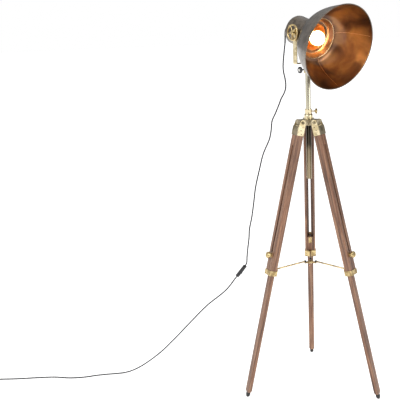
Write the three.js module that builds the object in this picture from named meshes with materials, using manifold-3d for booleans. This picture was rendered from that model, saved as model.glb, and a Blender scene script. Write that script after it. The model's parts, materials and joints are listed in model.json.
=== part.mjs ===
// Tripod floor lamp: a parabolic bowl shade on a tilting yoke, a telescopic post, three folding
// wooden legs with sliding lower stiles, a brass spreader, and a flex with an inline switch.
// Millimetres, +Z up, floor at z = 0. The pieces are built around the post's axis.
import * as THREE from 'three';
import { mergeVertices } from 'three/addons/utils/BufferGeometryUtils.js';
import Module from 'manifold-3d';

const wasm = await Module();
wasm.setup();

// ---------------------------------------------------------------- driving dimensions
const GAP = 0.3; // between pieces that touch
const deg = THREE.MathUtils.degToRad;

// Tripod
const PIVOT_HEIGHT = 1198; // leg hinge above the floor
const PIVOT_RADIUS = 40; // leg hinge from the post's axis
const FOOT_RADIUS = 334; // foot from the post's axis, legs spread
const SPLAY = Math.atan2(FOOT_RADIUS - PIVOT_RADIUS, PIVOT_HEIGHT);
const LEG_LENGTH = (FOOT_RADIUS - PIVOT_RADIUS) / Math.sin(SPLAY);
const LEG_AZIMUTHS = [90, 210, 330].map(deg);

// Leg section: X is away from the post, Y across the leg, distances down the leg are positive
const LEG_DEPTH = 30;
const LEG_WIDTH = 46;
const SLOT = 9; // gap between the two rails
const RAIL_TOP = 18;
const RAIL_END = 667;
const STILE = { width: 26, depth: 20, top: 572, outer: 6, footWidth: 24.5 };
const GROOVE = -8.5; // near side of the groove for the stile's stop
const FOOT = { length: 20, top: 0.66, sole: 0.45 }; // widths as shares of the stile's end
const STILE_CHAMFER = 9;
const BLOCK = { top: 24, end: 100 }; // wooden block between the rails
const BRACKET = { thickness: 3, end: 56, shoulder: 12, lug: 12 };
const PIVOT_BOLT_RADIUS = 4;
const FERRULE = { top: 651, plateTop: 642, end: 673, wall: 2 };
const LOCK = { distance: 585, shank: 2.6 };
const TONGUE = { length: 40, reach: 17.5, thickness: 6 }; // stop at the stile's top

// Spreader
const ROD_PIN = { distance: 645, inward: 22.4, radius: 2, ear: 5 };
const ROD_RADIUS = 3.4;
const BALL = { radius: 5.5, fromAxis: 27, height: 578 };
const PRONG = { from: 4.2, to: 7.5, thickness: 4, below: 3.8 }; // below the balls' centres

// Hub and post
const HUB_TOP = 1209;
const HUB_BOTTOM = 1186;
const ARM = { width: 40, reach: 52 };
const POST = { radius: 11, wall: 1.6, bottom: 950, top: 1425 };
const BOSS = { radius: 20, neck: 17.3, top: 16 };
const COLLAR_SPLIT = 1230;
const COLLAR_TOP = 1252;
const THUMBSCREW = { height: 1242, shank: 2.5, stemEnd: 26, head: 12 };

// Yoke: a flat bar bent into a U, turned about the post's top
const YOKE_TURN = deg(-49.8); // direction that the shade faces, from +X
const YOKE_BASE = 1445;
const BAR = { width: 24, thickness: 4 };
const YOKE_INSIDE = 64; // half the width between the arms
const TILT_HEIGHT = 1575;
const SLEEVE = { radius: 17, bottom: 1404, top: 1430 };
const SLEEVE_KNOB = { height: 1419, shank: 3, stemEnd: 35, head: 14 };

// Head: turned pieces about the shade's axis, measured from the tilt axis
const DROOP = deg(14.6);
const HEAD_DROP = 10; // shade axis below the tilt axis
const CAN = { radius: 60, wall: 1.5, back: -62, front: 50 };
const CAP_BACK = -78;
const NECK = { radius: 86, at: 71 };
const MOUTH = { radius: 174.5, at: 207 };
const BOWL_POWER = 0.47; // 0.5 is a true parabola
const SHEET = 1.4;
const BULB = { tip: -5, shoulder: 22, centre: 70, radius: 30, glass: 1 };

// Flex
const FLEX_RADIUS = 3;
const GLAND_TIP = -106;
const COIL = { x: -1565, y: -72, middle: 33, reach: 6.3, thickness: 12.4 };
const TRUNNION = { radius: 4, flange: 10, end: 88 };
const WHEEL = { radius: 31, rim: 4, plane: 78, end: 84, spokes: 5 };

// ---------------------------------------------------------------- materials
const finish = (color, roughness, metalness) =>
  new THREE.MeshStandardMaterial({ color, roughness, metalness });
const WOOD = finish(0x8a5c43, 0.55, 0);
const AGED_BRASS = finish(0xb59a63, 0.35, 1);
const POST_METAL = finish(0xb9ad8c, 0.2, 1);
const BRONZE = finish(0x6f675d, 0.35, 1);
const BLACK = finish(0x17171a, 0.5, 0);
const CERAMIC = finish(0xd8d2c4, 0.5, 0);
const GLASS = finish(0xfff0d0, 0.1, 0);

// ---------------------------------------------------------------- geometry helpers
// Position-only geometry with shared vertices and its faces pointing out.
function closed(geometry) {
  geometry.deleteAttribute('normal');
  geometry.deleteAttribute('uv');
  const merged = mergeVertices(geometry, 1e-4);
  const at = (i) => new THREE.Vector3().fromBufferAttribute(merged.attributes.position, i);
  const index = Array.from(merged.index.array);
  const faces = [];
  let volume = 0;
  for (let i = 0; i < index.length; i += 3) {
    const [a, b, c] = index.slice(i, i + 3);
    if (a === b || b === c || c === a) continue;
    faces.push([a, b, c]);
    volume += at(a).dot(at(b).cross(at(c)));
  }
  merged.setIndex(faces.flatMap((face) => (volume < 0 ? face.reverse() : face)));
  return merged;
}

function toManifold(geometry) {
  const { position } = geometry.attributes;
  const vertProperties = new Float32Array(position.array);
  const triVerts = new Uint32Array(geometry.index.array);
  return new wasm.Manifold(new wasm.Mesh({ numProp: 3, vertProperties, triVerts }));
}

function toGeometry(manifold) {
  const mesh = manifold.getMesh();
  const geometry = new THREE.BufferGeometry();
  geometry.setAttribute('position', new THREE.BufferAttribute(new Float32Array(mesh.vertProperties), 3));
  geometry.setIndex(Array.from(mesh.triVerts));
  return geometry;
}

const join = (...pieces) => toGeometry(pieces.map(toManifold).reduce((sum, piece) => sum.add(piece)));
const cut = (body, ...tools) =>
  toGeometry(tools.map(toManifold).reduce((rest, tool) => rest.subtract(tool), toManifold(body)));

// Box between two corners.
function block([x0, x1], [y0, y1], [z0, z1]) {
  const box = new THREE.BoxGeometry(x1 - x0, y1 - y0, z1 - z0);
  return closed(box.translate((x0 + x1) / 2, (y0 + y1) / 2, (z0 + z1) / 2));
}

// Turned solid: profile points are [distance along the axis, radius].
function turned(profile, axis = 'z', segments = 18) {
  const points = profile.map(([along, radius]) => new THREE.Vector2(Math.max(radius, 0), along));
  const lathe = new THREE.LatheGeometry(points, segments);
  if (axis === 'z') lathe.rotateX(Math.PI / 2);
  if (axis === 'x') lathe.rotateZ(-Math.PI / 2);
  return closed(lathe);
}

const bar = (radius, from, to, axis, segments) =>
  turned([[from, 0], [from, radius], [to, radius], [to, 0]], axis, segments);

const ring = (inner, outer, from, to, axis, segments) =>
  turned([[from, inner], [from, outer], [to, outer], [to, inner], [from, inner]], axis, segments);

// Closed profile of a sheet: the outside line, then the same line moved in by the thickness.
function sheetProfile(outside, thickness) {
  const inside = outside.map(([along, radius], i) => {
    const [a0, r0] = outside[Math.max(i - 1, 0)];
    const [a1, r1] = outside[Math.min(i + 1, outside.length - 1)];
    const length = Math.hypot(a1 - a0, r1 - r0);
    return [along + (thickness * (r1 - r0)) / length, radius - (thickness * (a1 - a0)) / length];
  });
  return [...outside, ...inside.reverse(), outside[0]];
}

// Flat outline extruded along one axis. Outline points are [first, second] of the other two axes.
function slab(outline, [from, to], axis, hole) {
  const shape = new THREE.Shape(outline.map(([u, v]) => new THREE.Vector2(u, v)));
  if (hole) shape.holes.push(new THREE.Path().absarc(hole.u, hole.v, hole.radius, 0, Math.PI * 2, true));
  const options = { depth: to - from, bevelEnabled: false, curveSegments: 10 };
  const solid = new THREE.ExtrudeGeometry(shape, options);
  solid.translate(0, 0, from);
  if (axis === 'y') solid.rotateX(Math.PI / 2).scale(1, -1, 1);
  if (axis === 'x') solid.rotateY(Math.PI / 2).rotateX(Math.PI / 2);
  return closed(solid);
}

function arc(centreU, centreV, radius, from, to, steps) {
  const point = (i) => from + ((to - from) * i) / steps;
  return Array.from({ length: steps + 1 }, (_, i) => [
    centreU + radius * Math.cos(point(i)),
    centreV + radius * Math.sin(point(i)),
  ]);
}

function reshape(geometry, move) {
  const { position } = geometry.attributes;
  const vertex = new THREE.Vector3();
  for (let i = 0; i < position.count; i += 1) {
    move(vertex.fromBufferAttribute(position, i));
    position.setXYZ(i, vertex.x, vertex.y, vertex.z);
  }
  return closed(geometry);
}

function place(parent, name, geometry, material) {
  const mesh = new THREE.Mesh(geometry, material);
  mesh.name = name;
  parent.add(mesh);
  return mesh;
}

// ---------------------------------------------------------------- legs
// Rail section: the stile slides in a rabbet, and its tongue in the groove beside it.
function rail(side) {
  const back = LEG_DEPTH / 2;
  const lip = SLOT / 2;
  const rabbet = STILE.width / 2 + GAP;
  const groove = TONGUE.reach + GAP;
  const grooveEnd = GROOVE + TONGUE.thickness + 2 * GAP;
  const section = [
    [back, lip], [back, LEG_WIDTH / 2], [-back, LEG_WIDTH / 2], [-back, rabbet],
    [GROOVE, rabbet], [GROOVE, groove], [grooveEnd, groove], [grooveEnd, rabbet],
    [STILE.outer + GAP, rabbet], [STILE.outer + GAP, lip],
  ].map(([u, v]) => [u, v * side]);
  const length = slab(section, [-RAIL_END, -RAIL_TOP], 'z');
  const seat = ARM.width / 2;
  const sides = side > 0 ? [seat, LEG_WIDTH] : [-LEG_WIDTH, -seat];
  return cut(length, block([-LEG_DEPTH, LEG_DEPTH], sides, [-BRACKET.end - GAP, 0]));
}

// Strap folded round the rails' outer faces, with a lug on each side for the hinge.
function bracket() {
  const { thickness, end, shoulder, lug } = BRACKET;
  const half = LEG_DEPTH / 2;
  const face = half + GAP;
  const inner = ARM.width / 2 + GAP;
  const outer = inner + thickness;
  const hinge = { u: 0, v: 0, radius: PIVOT_BOLT_RADIUS + GAP };
  const outline = [
    [-half, -end], [face + 1, -end], [face + 1, -RAIL_TOP], [half, -shoulder - 3],
    ...arc(0, 0, lug, 0, Math.PI, 10), [-half, -shoulder],
  ];
  const front = block([face, face + thickness], [-outer, outer], [-end, -RAIL_TOP]);
  return join(front, slab(outline, [inner, outer], 'y', hinge), slab(outline, [-outer, -inner], 'y', hinge));
}

function topBlock() {
  const back = LEG_DEPTH / 2 - GAP;
  const step = STILE.outer;
  const wide = STILE.width / 2;
  const narrow = SLOT / 2 - GAP;
  const section = [
    [-back, -wide], [step, -wide], [step, -narrow], [back, -narrow],
    [back, narrow], [step, narrow], [step, wide], [-back, wide],
  ];
  return slab(section, [-BLOCK.end, -BLOCK.top], 'z');
}

function pivotBolt() {
  const shank = ARM.width / 2 + BRACKET.thickness + 2 * GAP;
  const head = shank + 4.5;
  const half = [[shank, PIVOT_BOLT_RADIUS], [shank, 7], [head - 2, 7], [head, 4.5], [head, 0]];
  const mirrored = half.map(([along, radius]) => [-along, radius]).reverse();
  return turned([...mirrored, ...half], 'y', 12);
}

// Lower bracket: a band round the rails' ends, a floor that guides the stile, a tongue that
// fills the slot behind the lock screw, and a clevis with its pin for the spreader rod.
function ferrule() {
  const { top, plateTop, end, wall } = FERRULE;
  const halfDepth = LEG_DEPTH / 2 + GAP + wall;
  const halfWidth = LEG_WIDTH / 2 + GAP + wall;
  const pocketFloor = -RAIL_END - GAP;
  const slotHalf = SLOT / 2 - GAP;
  const stileHalf = STILE.width / 2 + GAP;
  const stileDepth = [STILE.outer - STILE.depth - 2 * GAP, STILE.outer + GAP];
  const band = block([-halfDepth, halfDepth], [-halfWidth, halfWidth], [-end, -top]);
  const plate = block([-halfDepth, wall - halfDepth], [-halfWidth, halfWidth], [-end, -plateTop]);
  const inside = [[wall - halfDepth, halfDepth - wall], [wall - halfWidth, halfWidth - wall]];
  const pocket = block(...inside, [pocketFloor, 0]);
  const passage = block(stileDepth, [-stileHalf, stileHalf], [-LEG_LENGTH, 0]);
  const tongueSpan = [pocketFloor - 1, -LOCK.distance + 15];
  const tongue = block([STILE.outer + 2 * GAP, LEG_DEPTH / 2], [-slotHalf, slotHalf], tongueSpan);
  const screwHole = bar(LOCK.shank + GAP, 0, LEG_DEPTH, 'x', 12).translate(0, 0, -LOCK.distance);
  const { distance, inward, radius, ear } = ROD_PIN;
  const root = 1 - halfDepth;
  const lug = (sides) => {
    const tip = arc(-inward, -distance, ear, Math.PI / 2, (3 * Math.PI) / 2, 8);
    return slab([...tip, [root, -distance - ear], [root, -distance + 2]], sides, 'y');
  };
  const pin = bar(radius, -5, 5, 'y', 12).translate(-inward, 0, -distance);
  return cut(join(cut(band, pocket, passage), plate, tongue, lug([3.5, 6]), lug([-6, -3.5]), pin), screwHole);
}

function lockKnob() {
  const face = LEG_DEPTH / 2 + GAP;
  const profile = [
    [STILE.outer + GAP, 0], [STILE.outer + GAP, LOCK.shank], [face, LOCK.shank],
    [face, 11], [face + 3, 11], [face + 3.5, 6], [face + 9, 6],
    [face + 10, 14], [face + 19, 14], [face + 23, 10.5], [face + 24, 0],
  ];
  return turned(profile, 'x', 14).translate(0, 0, -LOCK.distance);
}

// Lower stile: straight, then tapered, then chamfered down to the foot.
function stile() {
  const end = LEG_LENGTH - FOOT.length;
  const foot = STILE.footWidth / STILE.width;
  const rows = [
    { down: STILE.top, depth: 1, width: 1 },
    { down: (STILE.top + end) / 2, depth: 1, width: 1 },
    { down: end - STILE_CHAMFER, depth: 1, width: foot },
    { down: end, depth: FOOT.top, width: FOOT.top * foot },
  ];
  const steps = rows.length - 1;
  const body = new THREE.BoxGeometry(STILE.depth, STILE.width, steps, 1, 1, steps);
  const shaped = reshape(body, (vertex) => {
    const row = rows[Math.round(steps / 2 - vertex.z)];
    vertex.set(STILE.outer - STILE.depth / 2 + vertex.x * row.depth, vertex.y * row.width, -row.down);
  });
  const { length: tongueLength, reach, thickness } = TONGUE;
  const face = GROOVE + GAP;
  const tongueSpan = [-STILE.top - tongueLength, -STILE.top];
  return join(shaped, block([face, face + thickness], [-reach, reach], tongueSpan));
}

// Pointed shoe with a flat that lies on the floor when the legs are spread.
function foot() {
  const height = FOOT.length - GAP;
  const shoe = new THREE.BoxGeometry(STILE.depth, STILE.footWidth, height, 1, 1, 2);
  const centre = STILE.outer - STILE.depth / 2;
  return reshape(shoe, (vertex) => {
    const sole = vertex.z < -1;
    const scale = sole ? FOOT.sole : FOOT.top;
    const x = centre + vertex.x * scale;
    const down = sole ? LEG_LENGTH + x * Math.tan(SPLAY) : LEG_LENGTH - height / 2 - vertex.z;
    vertex.set(x, vertex.y * scale, -down);
  });
}

function leg(number, azimuth) {
  const turn = new THREE.Group();
  turn.rotation.z = azimuth;
  const swing = new THREE.Group();
  swing.position.set(PIVOT_RADIUS, 0, PIVOT_HEIGHT);
  swing.rotation.y = -SPLAY;
  turn.add(swing);
  const name = `leg_${number}`;
  place(swing, `${name}_rail_left`, rail(1), WOOD);
  place(swing, `${name}_rail_right`, rail(-1), WOOD);
  place(swing, `${name}_bracket`, bracket(), AGED_BRASS);
  place(swing, `${name}_top_block`, topBlock(), WOOD);
  place(swing, `${name}_ferrule`, ferrule(), AGED_BRASS);
  place(swing, `${name}_lock_knob`, lockKnob(), AGED_BRASS);
  place(swing, `${name}_stile`, stile(), WOOD);
  place(swing, `${name}_foot`, foot(), BLACK);
  const bolt = place(turn, `${name}_pivot_bolt`, pivotBolt(), AGED_BRASS);
  bolt.position.set(PIVOT_RADIUS, 0, PIVOT_HEIGHT);
  place(turn, `rod_${number}`, rod(), AGED_BRASS);
  return turn;
}

// Spreader rod from the leg's clevis to its ball over the spider's arm.
function rod() {
  const outer = new THREE.Vector2(
    PIVOT_RADIUS + ROD_PIN.distance * Math.sin(SPLAY) - ROD_PIN.inward * Math.cos(SPLAY),
    PIVOT_HEIGHT - ROD_PIN.distance * Math.cos(SPLAY) - ROD_PIN.inward * Math.sin(SPLAY),
  );
  const inner = new THREE.Vector2(BALL.fromAxis, BALL.height);
  const length = outer.distanceTo(inner);
  const eye = cut(bar(4.4, -3, 3, 'y', 12), bar(ROD_PIN.radius + GAP, -4, 4, 'y', 12));
  const neck = 2.6;
  const line = [[3.4, 0], [3.4, neck], [7, neck], [9, ROD_RADIUS], [length - 2, ROD_RADIUS], [length - 2, 0]];
  const shaft = turned(line, 'x', 8);
  const ball = turned(arc(0, 0, BALL.radius, Math.PI, 0, 6), 'x', 10).translate(length, 0, 0);
  const piece = join(eye, shaft, ball);
  const slope = Math.atan2(inner.y - outer.y, outer.x - inner.x);
  piece.rotateY(-slope).rotateZ(Math.PI).translate(outer.x, 0, outer.y);
  return piece;
}

// Forked arms: each rod's ball rests on its two prongs, and the rod swings down between them.
function spider() {
  const { from, to, thickness, below } = PRONG;
  const top = BALL.height - below;
  const prong = (azimuth, sides) =>
    block([5, BALL.fromAxis + 4], sides, [top - thickness, top]).rotateZ(azimuth);
  const fork = (azimuth) => [prong(azimuth, [from, to]), prong(azimuth, [-to, -from])];
  const prongs = LEG_AZIMUTHS.flatMap(fork);
  const boss = [
    [top - 8, 0], [top - 8, 7], [top - 5, 12], [top + 1, 12], [top + 3, 8], [top + 3, 0],
  ];
  return join(turned(boss, 'z', 18), ...prongs);
}

// ---------------------------------------------------------------- hub, post and collar
function hub() {
  const half = ARM.width / 2;
  const arm = block([0, ARM.reach], [-half, half], [HUB_BOTTOM, HUB_TOP]);
  const hole = bar(PIVOT_BOLT_RADIUS + GAP, -ARM.width, ARM.width, 'y', 12);
  hole.translate(PIVOT_RADIUS, 0, PIVOT_HEIGHT);
  const around = (piece) => LEG_AZIMUTHS.map((azimuth) => piece.clone().rotateZ(azimuth));
  const boss = [
    [HUB_BOTTOM - 4, 0], [HUB_BOTTOM - 4, BOSS.neck], [HUB_BOTTOM, BOSS.radius], [HUB_TOP, BOSS.radius],
    [HUB_TOP, BOSS.neck], [COLLAR_SPLIT - 2, BOSS.neck], [COLLAR_SPLIT, BOSS.top], [COLLAR_SPLIT, 0],
  ];
  const bore = bar(POST.radius + GAP, HUB_BOTTOM - 10, COLLAR_SPLIT + 10, 'z', 24);
  return cut(join(turned(boss, 'z', 24), ...around(arm)), bore, ...around(hole));
}

function postCollar() {
  const inner = POST.radius + GAP;
  const outer = 15;
  const low = COLLAR_SPLIT + GAP;
  const profile = [
    [low, inner], [low, outer], [COLLAR_TOP - 1.5, outer],
    [COLLAR_TOP, outer - 1.5], [COLLAR_TOP, inner], [low, inner],
  ];
  const hole = bar(THUMBSCREW.shank + GAP, 5, 20, 'x', 12).translate(0, 0, THUMBSCREW.height);
  return cut(turned(profile, 'z', 24), hole);
}

// Plain shank, then a head that flares from it.
function clampScrew(from, { shank, stemEnd, head }) {
  return [
    [from, 0], [from, shank], [stemEnd, shank], [stemEnd, head * 0.45], [stemEnd + 3, head * 0.85],
    [stemEnd + 6, head], [stemEnd + 9, head], [stemEnd + 12, head * 0.55], [stemEnd + 12.5, 0],
  ];
}

const lamp = new THREE.Group();
LEG_AZIMUTHS.forEach((azimuth, i) => lamp.add(leg(i + 1, azimuth)));
place(lamp, 'spider', spider(), AGED_BRASS);
place(lamp, 'hub', hub(), AGED_BRASS);
place(lamp, 'post_collar', postCollar(), AGED_BRASS);
const thumbscrew = turned(clampScrew(POST.radius + GAP, THUMBSCREW), 'x', 14);
place(lamp, 'post_thumbscrew', thumbscrew.translate(0, 0, THUMBSCREW.height), AGED_BRASS);
const post = ring(POST.radius - POST.wall, POST.radius, POST.bottom, POST.top, 'z', 24);
place(lamp, 'post', post, POST_METAL);

// ---------------------------------------------------------------- yoke
const yoke = new THREE.Group();
yoke.rotation.z = YOKE_TURN;
lamp.add(yoke);

// Socket over the post's top, with a stud that carries the bar.
function sleeve() {
  const { radius, bottom, top } = SLEEVE;
  const seat = YOKE_BASE - GAP;
  const stud = 7;
  const profile = [
    [bottom, 0], [bottom, radius], [top - 4, radius], [top, radius - 5],
    [top + 1, stud], [seat, stud], [seat, 0],
  ];
  const bore = bar(POST.radius + GAP, bottom - 5, POST.top + GAP, 'z', 24);
  const screw = bar(SLEEVE_KNOB.shank + GAP, -40, -5, 'y', 12).translate(0, 0, SLEEVE_KNOB.height);
  return cut(turned(profile, 'z', 24), bore, screw);
}

function yokeBar() {
  const outer = YOKE_INSIDE + BAR.thickness;
  const armTop = TILT_HEIGHT + 12;
  const floor = YOKE_BASE + BAR.thickness;
  const section = [
    [-outer, armTop], [-outer, YOKE_BASE + 3], [-outer + 3, YOKE_BASE],
    [outer - 3, YOKE_BASE], [outer, YOKE_BASE + 3], [outer, armTop],
    [YOKE_INSIDE, armTop], [YOKE_INSIDE, floor], [-YOKE_INSIDE, floor], [-YOKE_INSIDE, armTop],
  ];
  const body = slab(section, [-BAR.width / 2, BAR.width / 2], 'x');
  const hole = bar(TRUNNION.radius + GAP, -outer - 5, outer + 5, 'y', 12);
  return cut(body, hole.translate(0, 0, TILT_HEIGHT));
}

place(yoke, 'yoke_sleeve', sleeve(), AGED_BRASS);
place(yoke, 'yoke', yokeBar(), AGED_BRASS);
const knobProfile = clampScrew(POST.radius + 2 * GAP, SLEEVE_KNOB).map(([along, radius]) => [-along, radius]);
place(yoke, 'sleeve_knob', turned(knobProfile, 'y', 16).translate(0, 0, SLEEVE_KNOB.height), BLACK);

// ---------------------------------------------------------------- head
const head = new THREE.Group();
head.position.z = TILT_HEIGHT;
head.rotation.y = DROOP;
yoke.add(head);
const optics = new THREE.Group(); // +X along the shade's axis
optics.position.z = -HEAD_DROP;
head.add(optics);

function shade() {
  const steps = 8;
  const bowl = Array.from({ length: steps + 1 }, (_, i) => {
    const along = (i / steps) ** 2.2;
    const width = along ** BOWL_POWER;
    return [NECK.at + (MOUTH.at - NECK.at) * along, NECK.radius + (MOUTH.radius - NECK.radius) * width];
  });
  const seat = CAN.front + 0.4;
  const neck = [[seat, CAN.radius - 4], [seat, 68], [seat + 6, 69.5], [NECK.at - 3, NECK.radius - 4]];
  return turned(sheetProfile([...neck, ...bowl], SHEET), 'x', 36);
}

function backCap() {
  const roll = 13;
  const corner = arc(CAP_BACK + roll, CAN.radius - roll, roll, Math.PI, Math.PI / 2, 3);
  const outside = [[CAP_BACK, 7.3], ...corner, [CAN.back - GAP, CAN.radius]];
  return turned(sheetProfile(outside, CAN.wall), 'x', 30);
}

function lampHolder() {
  const inside = CAP_BACK + CAN.wall + GAP;
  const { tip, shoulder } = BULB;
  return turned([
    [inside, 0], [inside, 5], [-46, 5], [-46, 16], [-42, 20],
    [shoulder - 2, 20], [shoulder - 2, 14], [tip - 1, 14], [tip - 1, 0],
  ], 'x', 18);
}

// Envelope with its screw cap, hollow and open at the cap's tip.
function bulb() {
  const { tip, shoulder, centre, radius, glass } = BULB;
  const flank = [[shoulder + 2, 14.5], [shoulder + 14, 18], [shoulder + 26, 25], [shoulder + 37, 29]];
  const dome = (r) => arc(centre, 0, r, Math.PI / 2, 0, 4);
  const outer = [[tip, 4], [tip, 10], [tip + 3, 13], [shoulder, 13], ...flank, ...dome(radius)];
  const inner = [
    [tip + 2, 4], [tip + 2, 12], [shoulder, 12],
    ...flank.map(([along, r]) => [along, r - glass]), ...dome(radius - glass),
  ];
  return turned([...inner.reverse(), ...outer], 'x', 16);
}

function gland() {
  const seat = CAP_BACK - GAP;
  const inside = CAP_BACK + CAN.wall - GAP;
  const spigot = 6.5;
  return turned([
    [GLAND_TIP, 0], [GLAND_TIP, 4.2], [seat - 6, 7], [seat - 5, 10.5],
    [seat, 10.5], [seat, spigot], [inside, spigot], [inside, 0],
  ], 'x', 14);
}

function trunnion(side) {
  const { radius: pin, flange, end } = TRUNNION;
  const start = CAN.radius + GAP;
  const shoulder = YOKE_INSIDE - GAP;
  const outline = [
    [start, 0], [start, flange], [shoulder, flange], [shoulder, pin],
    [end - 1, pin], [end, pin - 1], [end, 0],
  ];
  return turned(outline.map(([along, radius]) => [along * side, radius]), 'y', 12);
}

function handwheel(side) {
  const { radius, rim, plane, end, spokes } = WHEEL;
  const hubStart = YOKE_INSIDE + BAR.thickness + GAP;
  const tyre = new THREE.TorusGeometry(radius, rim, 6, 24).rotateX(Math.PI / 2).translate(0, plane, 0);
  const centre = bar(9, hubStart, end, 'y', 12);
  const spoke = (_, i) =>
    bar(2.6, 6, radius, 'x', 6).translate(0, plane, 0).rotateY((i * 2 * Math.PI) / spokes + 0.3);
  const solid = join(closed(tyre), centre, ...Array.from({ length: spokes }, spoke));
  const wheel = cut(solid, bar(TRUNNION.radius + GAP, 0, 100, 'y', 12));
  return closed(wheel.scale(1, side, 1));
}

place(optics, 'shade', shade(), BRONZE);
const can = ring(CAN.radius - CAN.wall, CAN.radius, CAN.back, CAN.front, 'x', 30);
place(optics, 'housing', can, BRONZE);
place(optics, 'back_cap', backCap(), BRONZE);
place(optics, 'lamp_holder', lampHolder(), CERAMIC);
place(optics, 'bulb', bulb(), GLASS);
place(optics, 'cord_gland', gland(), BLACK);
[['near', -1], ['far', 1]].forEach(([name, side]) => {
  place(head, `trunnion_${name}`, trunnion(side), AGED_BRASS);
  place(head, `handwheel_${name}`, handwheel(side), AGED_BRASS);
});

// The lamp without its flex stands with its footprint centred on the origin.
const footprint = new THREE.Box3().setFromObject(lamp, true).getCenter(new THREE.Vector3());
lamp.position.set(-footprint.x, -footprint.y, 0);

// ---------------------------------------------------------------- flex
// Knots from the post's axis. The first hangs from the gland to the switch, the second runs on
// from the switch to the floor and along it to the coil.
const HANGING = [
  [-68.1, 80.6, 1592.2], [-72.8, 86.2, 1594.1], [-84.4, 99.8, 1591.9], [-92, 108.8, 1581.2],
  [-94.3, 111.4, 1567], [-94.6, 109.5, 1546], [-96, 106.5, 1522], [-99.5, 104, 1494],
  [-103.5, 104, 1459], [-105.8, 104, 1424], [-104, 104, 1400], [-99, 104, 1376],
  [-96, 104, 1351], [-97.5, 104, 1329], [-105, 104, 1308], [-117, 103, 1287],
  [-127, 103, 1262], [-143, 102, 1225], [-159, 101, 1190], [-164, 100, 1150],
  [-172, 100, 1112], [-202, 98, 1043], [-221, 97, 972], [-240, 96, 893],
  [-250, 95, 825], [-261, 94, 755], [-273, 94, 700], [-277, 94, 655],
  [-284, 93, 605], [-288.5, 93, 566], [-290.5, 93, 541], [-296, 93, 527],
];
const RUN = [
  [-339, 90, 473], [-354, 89, 454], [-372, 88, 430], [-394, 86, 406], [-420, 85, 384],
  [-482, 81, 335], [-580, 75, 236], [-647, 71, 167], [-714, 67, 103], [-788, 63, 48],
  [-826, 60, 26], [-860, 57, 11.5], [-893, 52, 4.6], [-930, 44, 3.3], [-975, 34, 3.3],
  [-1020, 21, 3.3], [-1075, 0, 3.3], [-1142, -10, 3.3], [-1218, -4, 3.3], [-1297, -12, 3.3],
  [-1378, -25, 3.3], [-1455, -33, 3.3], [-1510, -36, 3.3], [-1543.2, -36, 3.3],
];

// Tube along the route between two of its knots.
function flex(knots, from, to, steps) {
  const route = new THREE.CatmullRomCurve3(knots.map((knot) => new THREE.Vector3(...knot)));
  const trim = 0.006;
  const last = knots.length - 1;
  const at = (share) => route.getPoint((from + trim + (to - from - 2 * trim) * share) / last);
  const points = Array.from({ length: steps + 1 }, (_, i) => at(i / steps));
  const sides = 8;
  const circle = arc(0, 0, FLEX_RADIUS, 0, 2 * Math.PI, sides).slice(0, sides);
  const section = new THREE.Shape(circle.map(([u, v]) => new THREE.Vector2(u, v)));
  const extrudePath = new THREE.CatmullRomCurve3(points);
  return closed(new THREE.ExtrudeGeometry(section, { steps, extrudePath, bevelEnabled: false }));
}

place(lamp, 'cord_at_head', flex(HANGING, 0, 7, 14), BLACK);
place(lamp, 'cord_at_yoke', flex(HANGING, 7, 11, 6), BLACK);
place(lamp, 'cord_hanging', flex(HANGING, 11, HANGING.length - 1, 28), BLACK);
place(lamp, 'cord_on_floor', flex(RUN, 0, RUN.length - 1, 34), BLACK);
const coil = ring(COIL.middle - COIL.reach, COIL.middle + COIL.reach, 0, COIL.thickness, 'z', 30);
place(lamp, 'cord_coil', coil.translate(COIL.x, COIL.y, 0), BLACK);

// Inline switch: +X along the flex, +Z out of the rocker.
const switchTop = new THREE.Vector3(...HANGING.at(-1));
const switchEnd = new THREE.Vector3(...RUN[0]);
const along = switchEnd.clone().sub(switchTop).normalize();
const across = new THREE.Vector3().crossVectors(new THREE.Vector3(0.78, -0.1, -0.62), along).normalize();
const outward = new THREE.Vector3().crossVectors(along, across);
const switchGroup = new THREE.Group();
switchGroup.position.copy(switchTop).add(switchEnd).multiplyScalar(0.5);
switchGroup.quaternion.setFromRotationMatrix(new THREE.Matrix4().makeBasis(along, across, outward));
lamp.add(switchGroup);

function switchBody() {
  const end = switchTop.distanceTo(switchEnd) / 2 - 4 * GAP;
  const section = [[-12, -5], [-8, -8.5], [8, -8.5], [12, -5], [12, 4], [8, 8], [-8, 8], [-12, 4]];
  const body = slab(section, [-30, 30], 'x');
  const relief = turned([[-end, 0], [-end, 3.8], [-29, 5.5], [29, 5.5], [end, 3.8], [end, 0]], 'x', 12);
  return cut(join(body, relief), block([-10.3, 10.3], [-6, 6], [3.5, 12]));
}

function rocker() {
  const outline = [[-8.8, 6], [0, 4.4], [8.8, 6], [8.8, 9.8], [0, 8.6], [-8.8, 9.8]];
  const lever = slab(outline, [-5.6, 5.6], 'y');
  return lever.translate(0, 0, -6).rotateY(deg(-7)).translate(0, 0, 6);
}

place(switchGroup, 'switch_body', switchBody(), BLACK);
place(switchGroup, 'switch_rocker', rocker(), BLACK);

function plug() {
  const start = COIL.y - 23;
  const height = 8.2;
  const relief = turned([[-24, 0], [-24, 6.5], [0, 3.8], [0, 0]], 'y', 12).translate(0, start, height);
  const outline = [[-9, -21], [9, -21], [15, -30], [15, -56], [-15, -56], [-15, -30]];
  const body = slab(outline, [0, 2 * height], 'z').translate(0, start, 0);
  const pin = (x) => bar(2.4, -75, -50, 'y', 10).translate(x, start, height);
  return join(relief, body, pin(-9.5), pin(9.5)).translate(COIL.x - COIL.middle - 3, 0, 0);
}
place(lamp, 'plug', plug(), BLACK);

export default lamp;
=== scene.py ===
"""Looks of the tripod floor lamp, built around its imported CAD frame.

Lengths are written in millimetres in local frames (lamp, yoke, optics, legs), and each frame's matrix
brings them to metres in the row frame.
"""

import json
import math

import bmesh
import bpy
from mathutils import Matrix, Vector


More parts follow.
